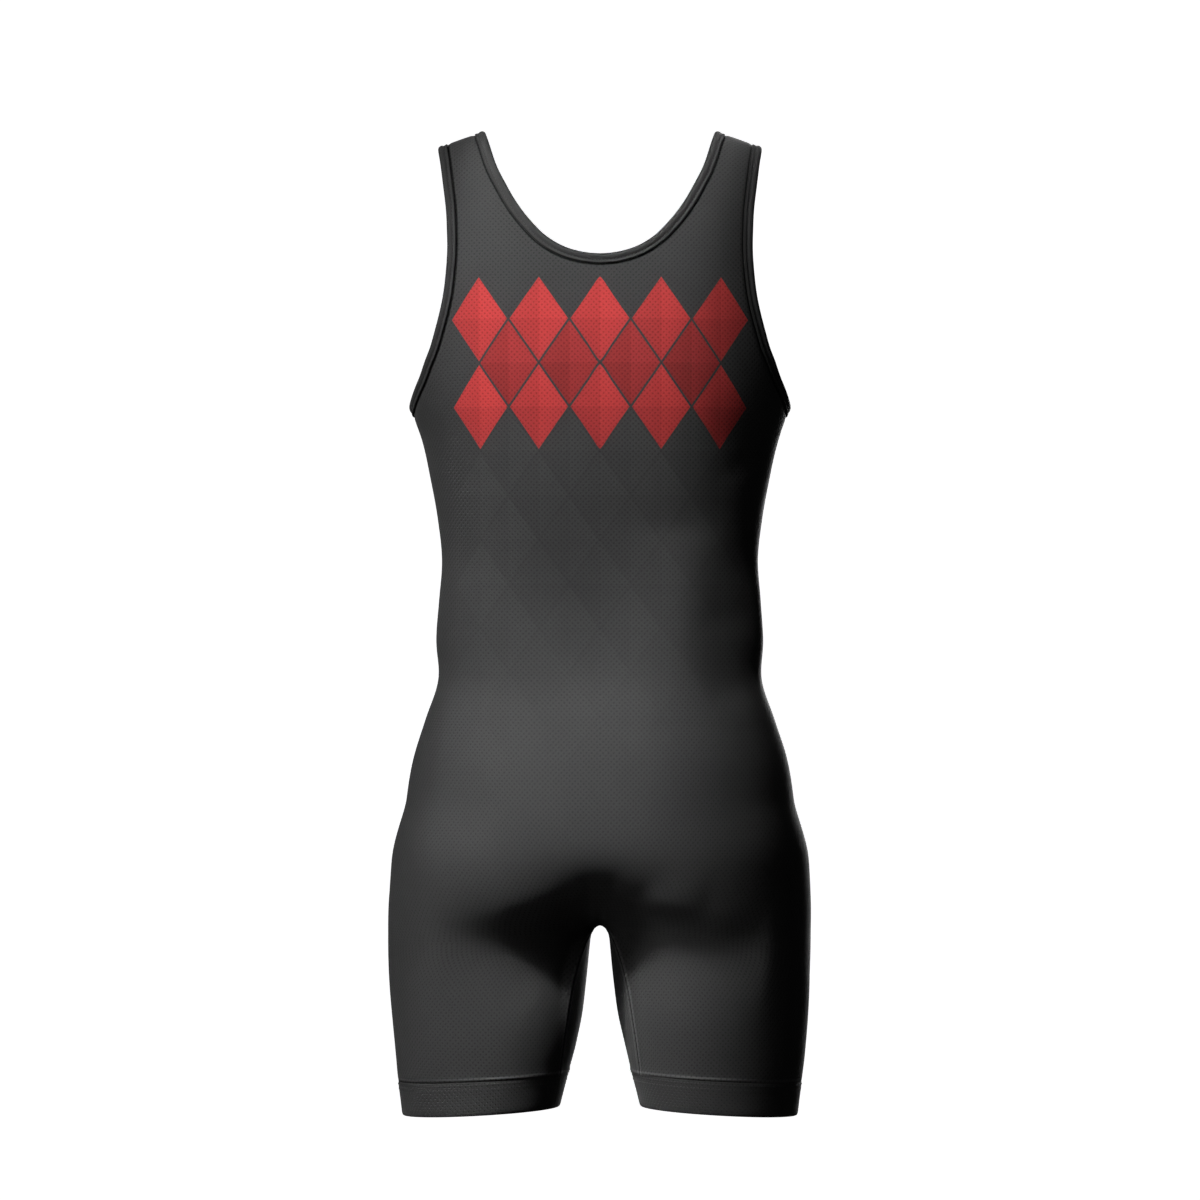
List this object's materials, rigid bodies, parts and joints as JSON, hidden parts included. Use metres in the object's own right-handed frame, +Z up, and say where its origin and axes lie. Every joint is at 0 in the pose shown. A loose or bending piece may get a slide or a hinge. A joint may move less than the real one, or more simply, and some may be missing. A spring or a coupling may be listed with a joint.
{
  "type": "wrestling singlet",
  "caption": "Sleeveless one-piece wrestling singlet with wide shoulder straps, scoop neck, deep armholes and thigh-length legs, held in its worn, filled-out shape.",
  "frame": {"origin": "midway between the shoulder straps, at the height of their undersides, where they rest on the wearer's shoulders", "axes": "+Z up, the front of the garment faces -Y, the wearer's left is +X"},
  "size_m": [0.363, 0.2279, 0.8446],
  "materials": {
    "body_knit": "matt",
    "binding_knit": "satin",
    "band_knit": "matt"
  },
  "bodies": {
    "root": {"back_panel": "body_knit", "front_panel": "body_knit", "neck_binding": "binding_knit", "armhole_binding_left": "binding_knit", "armhole_binding_right": "binding_knit", "leg_band_left": "band_knit", "leg_band_right": "band_knit"}
  },
  "joints": []
}
